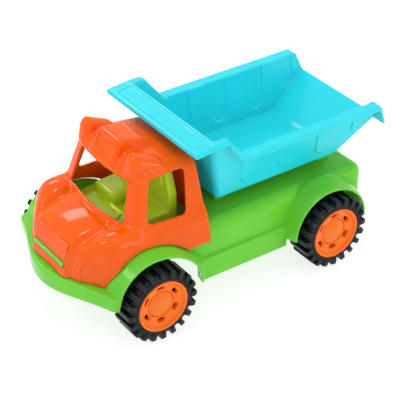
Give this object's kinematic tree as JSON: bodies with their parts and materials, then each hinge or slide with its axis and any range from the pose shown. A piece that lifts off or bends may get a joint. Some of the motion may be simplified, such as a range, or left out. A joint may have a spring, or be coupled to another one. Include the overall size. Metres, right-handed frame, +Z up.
{
  "type": "toy dump truck",
  "caption": "Toy dump truck with a tipping open bed hinged at the rear, an open cab with seats and steering wheel, and free-running wheels.",
  "frame": {"origin": "on the ground, at the centre of the truck's bounding box", "axes": "+X to the truck's left, +Y to its rear (the bumper faces -Y), +Z up"},
  "size_m": [0.192, 0.348, 0.1685],
  "materials": {
    "cab_orange": "glossy moulded polypropylene",
    "hub_orange": "glossy moulded polypropylene",
    "chassis_green": "glossy moulded polypropylene",
    "bed_cyan": "satin-gloss moulded polypropylene",
    "tyre_black": "semi-matte hard plastic",
    "steel": "bright drawn steel"
  },
  "bodies": {
    "chassis": {"chassis": "chassis_green", "cab_shell": "cab_orange", "cab_interior": "chassis_green", "cab_screw_1": "steel", "cab_screw_2": "steel", "cab_screw_3": "steel", "cab_screw_4": "steel", "bed_hinge_pin": "steel", "front_axle": "steel", "rear_axle": "steel", "front_left_push_nut": "steel", "front_left_washer": "steel", "front_right_push_nut": "steel", "front_right_washer": "steel", "rear_left_push_nut": "steel", "rear_left_washer": "steel", "rear_right_push_nut": "steel", "rear_right_washer": "steel"},
    "bed": {"bed": "bed_cyan"},
    "front_left_wheel": {"front_left_tyre": "tyre_black", "front_left_hub": "hub_orange", "front_left_hub_cap": "hub_orange"},
    "front_right_wheel": {"front_right_tyre": "tyre_black", "front_right_hub": "hub_orange", "front_right_hub_cap": "hub_orange"},
    "rear_left_wheel": {"rear_left_tyre": "tyre_black", "rear_left_hub": "hub_orange", "rear_left_hub_cap": "hub_orange"},
    "rear_right_wheel": {"rear_right_tyre": "tyre_black", "rear_right_hub": "hub_orange", "rear_right_hub_cap": "hub_orange"}
  },
  "joints": [
    {"name": "bed_tip", "type": "hinge", "parent": "chassis", "child": "bed", "pos_m": [0, 0.128, 0.087], "axis": [-1, 0, 0], "range_deg": [0, 50]},
    {"name": "front_left_spin", "type": "hinge", "parent": "chassis", "child": "front_left_wheel", "pos_m": [0, -0.102, 0.037], "axis": [1, 0, 0], "continuous": true},
    {"name": "front_right_spin", "type": "hinge", "parent": "chassis", "child": "front_right_wheel", "pos_m": [0, -0.102, 0.037], "axis": [1, 0, 0], "continuous": true},
    {"name": "rear_left_spin", "type": "hinge", "parent": "chassis", "child": "rear_left_wheel", "pos_m": [0, 0.098, 0.037], "axis": [1, 0, 0], "continuous": true},
    {"name": "rear_right_spin", "type": "hinge", "parent": "chassis", "child": "rear_right_wheel", "pos_m": [0, 0.098, 0.037], "axis": [1, 0, 0], "continuous": true}
  ]
}
